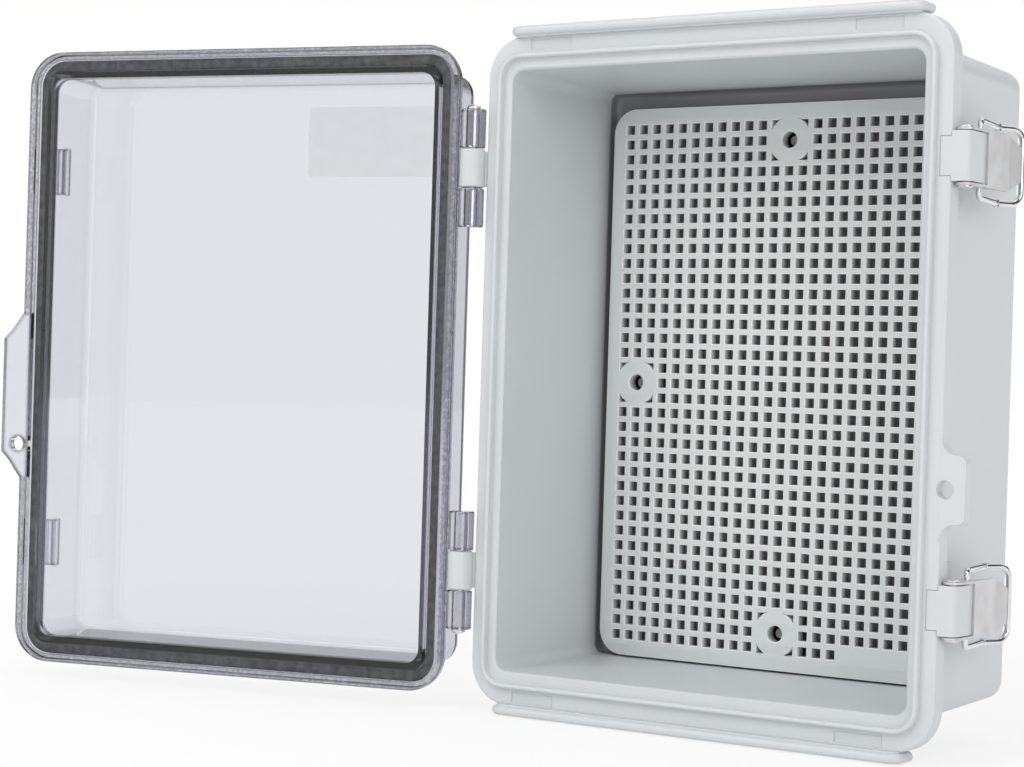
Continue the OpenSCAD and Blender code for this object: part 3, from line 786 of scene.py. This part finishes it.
@dataclass
class Plate:
    """The perforated mounting plate: square holes on a grid, with plain discs round its screw holes."""

    pitch: float = 5.0 * MM
    half_cols: int = 12
    half_rows: int = 17
    hole: float = 3.1 * MM
    corner: float = 8.5 * MM
    disc: float = 7.5 * MM
    screw: float = 2.7 * MM
    screw_sides: int = 48
    lip: float = 0.28 * MM
    lip_steps: int = 3
    plain_from: int = 5

    def build(self) -> bpy.types.Object:
        """Returns the plate, which stands for its CAD node."""
        low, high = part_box("mounting_plate")
        self.front, self.back = low[1], high[1]
        self.centre = ((low[0] + high[0]) / 2, (low[2] + high[2]) / 2)
        self.shell = Shell()
        side, end = self.half_cols - 1, self.half_rows - 1
        screws = [(0, end), (-side, 0), (side, 0), (0, -end)]
        taken = {(c + i, r + j) for c, r in screws for i in (-1, 0, 1) for j in (-1, 0, 1)}
        for column in range(-self.half_cols, self.half_cols + 1):
            for row in range(-self.half_rows, self.half_rows + 1):
                if (column, row) not in taken:
                    plain = row == -self.half_rows and column >= self.plain_from
                    self._cell(column, row, 1, [] if plain else [self._square(column, row)])
        for column, row in screws:
            centre = (column * self.pitch, row * self.pitch)
            holes = [arc(centre, self.screw, 0, 360 - 360 / self.screw_sides, self.screw_sides - 1)]
            holes += [self._cut_square(centre, sx, sz) for sx in (-1, 1) for sz in (-1, 1)]
            self._cell(column, row, 3, holes)
        self._border((high[0] - low[0]) / 2, (high[2] - low[2]) / 2)
        made = self.shell.build("perforated_plate", FINISHES.plate)
        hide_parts("mounting_plate")
        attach(made, "enclosure")
        LOG.info("perforated_plate: %d faces", len(made.data.polygons))
        return made

    def _points(self, outline: Sequence[Point2], y: float) -> list[int]:
        """Adds an outline at a depth and returns its numbers."""
        return self.shell.add_points([(x + self.centre[0], y, z + self.centre[1]) for x, z in outline])

    def _square(self, column: int, row: int) -> list[Point2]:
        """Returns one hole's outline, anticlockwise."""
        x, z, half = column * self.pitch, row * self.pitch, self.hole / 2
        return [(x - half, z - half), (x + half, z - half), (x + half, z + half), (x - half, z + half)]

    def _cut_square(self, centre: Point2, side_x: int, side_z: int) -> list[Point2]:
        """Returns what a disc leaves of the hole diagonally next to its centre.

        Args:
            centre: Centre of the disc.
            side_x: -1 for the hole to the left, 1 for the one to the right.
            side_z: -1 for the hole below, 1 for the one above.

        Returns:
            The outline, anticlockwise.
        """
        near, far = self.pitch - self.hole / 2, self.pitch + self.hole / 2
        low = math.degrees(math.asin(near / self.disc))
        curve = arc((0.0, 0.0), self.disc, 90.0 - low, low, 8)
        corner = [(math.sqrt(self.disc**2 - far**2), far)] if far < self.disc else []
        outline = corner + curve + [(far, near), (far, far), (near, far)]
        outline = [(centre[0] + side_x * x, centre[1] + side_z * z) for x, z in outline]
        area = sum(a[0] * b[1] - b[0] * a[1] for a, b in zip(outline, outline[1:] + outline[:1]))
        return outline if area > 0 else outline[::-1]

    def _cell(self, column: int, row: int, span: int, holes: Sequence[Sequence[Point2]]) -> None:
        """Adds a square part of the plate with its holes.

        Args:
            column: Column of its middle.
            row: Row of its middle.
            span: Its side, in holes.
            holes: Outlines of its holes, anticlockwise.
        """
        x, z, half = column * self.pitch, row * self.pitch, span * self.pitch / 2
        edge = []
        for ax, az, bx, bz in ((-1, -1, 1, -1), (1, -1, 1, 1), (1, 1, -1, 1), (-1, 1, -1, -1)):
            for i in range(span):
                share = i / span
                edge.append((x + half * (ax + (bx - ax) * share), z + half * (az + (bz - az) * share)))
        fronts, backs = [self._points(edge, self.front)], [self._points(edge, self.back)]
        for hole in holes:
            front, back = self._wall(hole, 1.0)
            fronts.append(front)
            backs.append(back)
        self.shell.add_flat(fronts)
        self.shell.add_flat(backs, flip=True)

    def _wall(self, outline: Sequence[Point2], away: float) -> tuple[list[int], list[int]]:
        """Adds a wall through the plate, with a rounded front edge.

        Args:
            outline: The wall's outline, anticlockwise.
            away: 1 where the edge is rounded outward, -1 where it is rounded inward.

        Returns:
            The point numbers of its front and back outlines.
        """
        loops = []
        for step in range(self.lip_steps + 1):
            angle = math.pi / 2 * step / self.lip_steps
            moved = offset_outline(outline, away * self.lip * (1 - math.sin(angle)))
            loops.append(self._points(moved, self.front + self.lip * (1 - math.cos(angle))))
        loops.append(self._points(outline, self.back))
        for first, second in zip(loops, loops[1:]):
            self.shell.add_loop_wall(first, second)
        return loops[0], loops[-1]

    def _border(self, half_x: float, half_z: float) -> None:
        """Adds the plain border round the grid, with its rounded front edge.

        Args:
            half_x: Half the plate's width.
            half_z: Half the plate's height.
        """
        cols, rows = self.half_cols + 0.5, self.half_rows + 0.5
        grid = [(c * self.pitch, -rows * self.pitch) for c in self._steps(cols)]
        grid += [(cols * self.pitch, r * self.pitch) for r in self._steps(rows)]
        grid += [(-c * self.pitch, rows * self.pitch) for c in self._steps(cols)]
        grid += [(-cols * self.pitch, -r * self.pitch) for r in self._steps(rows)]
        front, back = self._wall(rounded_outline(half_x, half_z, self.corner), -1.0)
        self.shell.add_flat([front, self._points(grid, self.front)])
        self.shell.add_flat([back, self._points(grid, self.back)], flip=True)

    @staticmethod
    def _steps(half: float) -> Iterator[float]:
        """Yields -half, -half + 1 and so on, up to but not including half."""
        for i in range(int(2 * half)):
            yield i - half


@dataclass
class Lid:
    """The clear lid with its gasket and the frosted film on its panel."""

    strip_middle: Point2 = (75.1 * MM, 100.65 * MM)
    strip_corner: float = 7.0 * MM
    strip_half: float = 1.85 * MM
    strip_front: float = -2.6 * MM
    strip_thick: float = 0.9 * MM
    strip_edge: float = 0.5 * MM
    film_middle: Point2 = (-37.1 * MM, 76.6 * MM)
    film_half: Point2 = (23.6 * MM, 12.0 * MM)
    film_corner: float = 1.6 * MM
    film_back: float = -28.76 * MM
    film_thick: float = 0.15 * MM
    film_round: float = 0.05 * MM

    def build(self) -> None:
        """Dresses the lid and adds its gasket and film."""
        dress(["clear_lid"], FINISHES.clear)
        self._gasket()
        self._film()

    def _gasket(self) -> bpy.types.Object:
        """Returns the foam strip, which stands for its CAD node."""
        shell = Shell()
        back = self.strip_front - self.strip_thick
        low_edge = self.strip_front - self.strip_edge
        turns = arc((self.strip_half - self.strip_edge, low_edge), self.strip_edge, 0.0, 90.0, 4)
        outer = [(self.strip_half, back), *turns]
        section = outer + [(-across, y) for across, y in reversed(outer)]
        middle = rounded_outline(*self.strip_middle, self.strip_corner)
        loops = [
            shell.add_points([LID.point(x, y, z) for x, z in offset_outline(middle, across)])
            for across, y in section
        ]
        for first, second in zip(loops, loops[1:] + loops[:1]):
            shell.add_loop_wall(first, second)
        gasket = shell.build("foam_gasket", FINISHES.foam)
        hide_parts("lid_gasket")
        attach(gasket, "lid")
        LOG.info("foam_gasket: %d faces", len(gasket.data.polygons))
        return gasket

    def _film(self) -> bpy.types.Object:
        """Returns the blank film stuck on the panel's inner face."""
        outline = rounded_outline(*self.film_half, self.film_corner)
        shell = Shell()
        loops = []
        front = self.film_back + self.film_thick
        steps = ((0.0, self.film_back), (0.0, front - self.film_round), (self.film_round, front))
        for inset, y in steps:
            loop = offset_outline(outline, -inset)
            points = [LID.point(x + self.film_middle[0], y, z + self.film_middle[1]) for x, z in loop]
            loops.append(shell.add_points(points))
        for first, second in zip(loops, loops[1:]):
            shell.add_loop_wall(first, second)
        shell.add_flat([loops[0]], flip=True)
        shell.add_flat([loops[-1]])
        film = shell.build("lid_film", FINISHES.frosted)
        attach(film, "lid")
        LOG.info("lid_film: %d faces", len(film.data.polygons))
        return film


@dataclass
class Hardware:
    """Hinge pins, latch levers and wire bails."""

    plated: tuple[str, ...] = ("hinge_pin", "lever_pin", "wire_bail")

    def build(self) -> None:
        """Dresses the metal parts."""
        for side in Side:
            dress([f"{side.value}_{part}" for part in self.plated], FINISHES.chrome)
            dress([f"{side.value}_latch_lever"], FINISHES.satin)


# ---- studio ----


@dataclass
class Studio:
    """Floor, light and camera."""

    camera_place: Vector = field(default_factory=lambda: Vector((0.3575, -0.7041, -0.0013)))
    camera_aim: Vector = field(default_factory=lambda: Vector((-0.5578, 0.8299, -0.0037)))
    camera_up: Vector = field(default_factory=lambda: Vector((-0.0273, -0.0139, 0.9995)))
    lens: float = 83.77734375
    sensor: float = 36.0
    ambient: float = 0.55
    floor_gap: float = 0.4 * MM
    floor_reach: float = 6.0
    side_stops: Stops = ((0.0, grey(0.05)), (0.32, grey(0.12)), (0.55, grey(0.9)), (0.7, grey(1.0)))
    flag_stops: Stops = ((0.16, grey(1.0)), (0.22, grey(0.1)), (0.36, grey(0.1)), (0.44, grey(1.0)))
    edge_stops: Stops = ((0.0, grey(1.0)), (0.25, grey(0.45)), (0.5, grey(0.14)), (0.75, grey(0.05)))

    def build(self) -> None:
        """Makes the camera, the lamps, the surroundings and the floor."""
        self._camera()
        self._world()
        self._lamp("key", Vector((-0.7, -1.7, 1.5)), 1.6, 20.0)
        self._lamp("fill", Vector((1.8, -1.2, 0.5)), 1.6, 13.0)
        self._lamp("top", Vector((0.1, 0.2, 2.0)), 1.4, 8.0)
        self._floor()
        bpy.context.scene.view_settings.view_transform = "Standard"

    def _camera(self) -> None:
        """Adds the camera and makes it the scene's."""
        data = bpy.data.cameras.new("camera")
        data.sensor_width = self.sensor
        data.lens = self.lens
        data.clip_start, data.clip_end = 0.01, 50.0
        camera = bpy.data.objects.new("camera", data)
        bpy.context.scene.collection.objects.link(camera)
        back = -self.camera_aim.normalized()
        right = self.camera_up.cross(back).normalized()
        up = back.cross(right)
        turn = Matrix((right, up, back)).transposed().to_4x4()
        camera.matrix_world = Matrix.Translation(self.camera_place) @ turn
        bpy.context.scene.camera = camera

    def _lamp(self, name: str, place: Vector, size: float, power: float) -> None:
        """Adds a square soft lamp that faces the object.

        Args:
            name: Name of the lamp.
            place: Where it hangs.
            size: Its side.
            power: Its power in watts.
        """
        data = bpy.data.lights.new(name, "AREA")
        data.shape, data.size, data.energy = "SQUARE", size, power
        lamp = bpy.data.objects.new(name, data)
        bpy.context.scene.collection.objects.link(lamp)
        turn = (-place).to_track_quat("-Z", "Y").to_matrix().to_4x4()
        lamp.matrix_world = Matrix.Translation(place) @ turn

    def _world(self) -> None:
        """Makes pale surroundings: white where they are seen, dimmer as light."""
        world = bpy.data.worlds.new("surroundings")
        bpy.context.scene.world = world
        graph = Graph(world)
        seen, glossy, through, turns = graph.rays(
            "Is Camera Ray", "Is Glossy Ray", "Is Transmission Ray", "Glossy Depth"
        )
        direction = graph.add("ShaderNodeTexCoord", out="Generated")
        depth = graph.add("ShaderNodeSeparateXYZ", {}, {0: direction}, out="Y")
        height = Signal(graph, depth.socket.node.outputs["Z"])
        walls = graph.ramp(graph.number("ABSOLUTE", depth), self.side_stops)
        flags = graph.ramp(graph.number("ABSOLUTE", height), self.flag_stops)
        mirrored = graph.blend(glossy, grey(1.0), walls * flags)
        edges = graph.ramp(turns * 0.25, self.edge_stops)
        level = graph.span(seen + glossy + through, 0.0, 1.0, self.ambient, 1.0)
        sockets = {"Color": graph.blend(through, mirrored, edges), "Strength": level}
        shade = graph.add("ShaderNodeBackground", {}, sockets)
        graph.add("ShaderNodeOutputWorld", {}, {"Surface": shade})

    def _floor(self) -> None:
        """Adds the pale floor under the object."""
        reach, level = self.floor_reach, CAD_BOX[0][2] - self.floor_gap
        corners = [(-reach, -reach), (reach, -reach), (reach, reach), (-reach, reach)]
        shell = Shell()
        shell.faces.append(tuple(shell.add_points([(x, y, level) for x, y in corners])))
        floor = shell.build("floor", Backdrop("white_floor", grey(0.93)))


def main() -> None:
    """Builds the studio and every sub-assembly."""
    logging.basicConfig(level=logging.INFO, format="%(message)s")
    for builder in (Studio(), Case(), Plate(), Lid(), Hardware()):
        builder.build()
        LOG.info("%s done", type(builder).__name__)


if __name__ == "__main__":
    main()
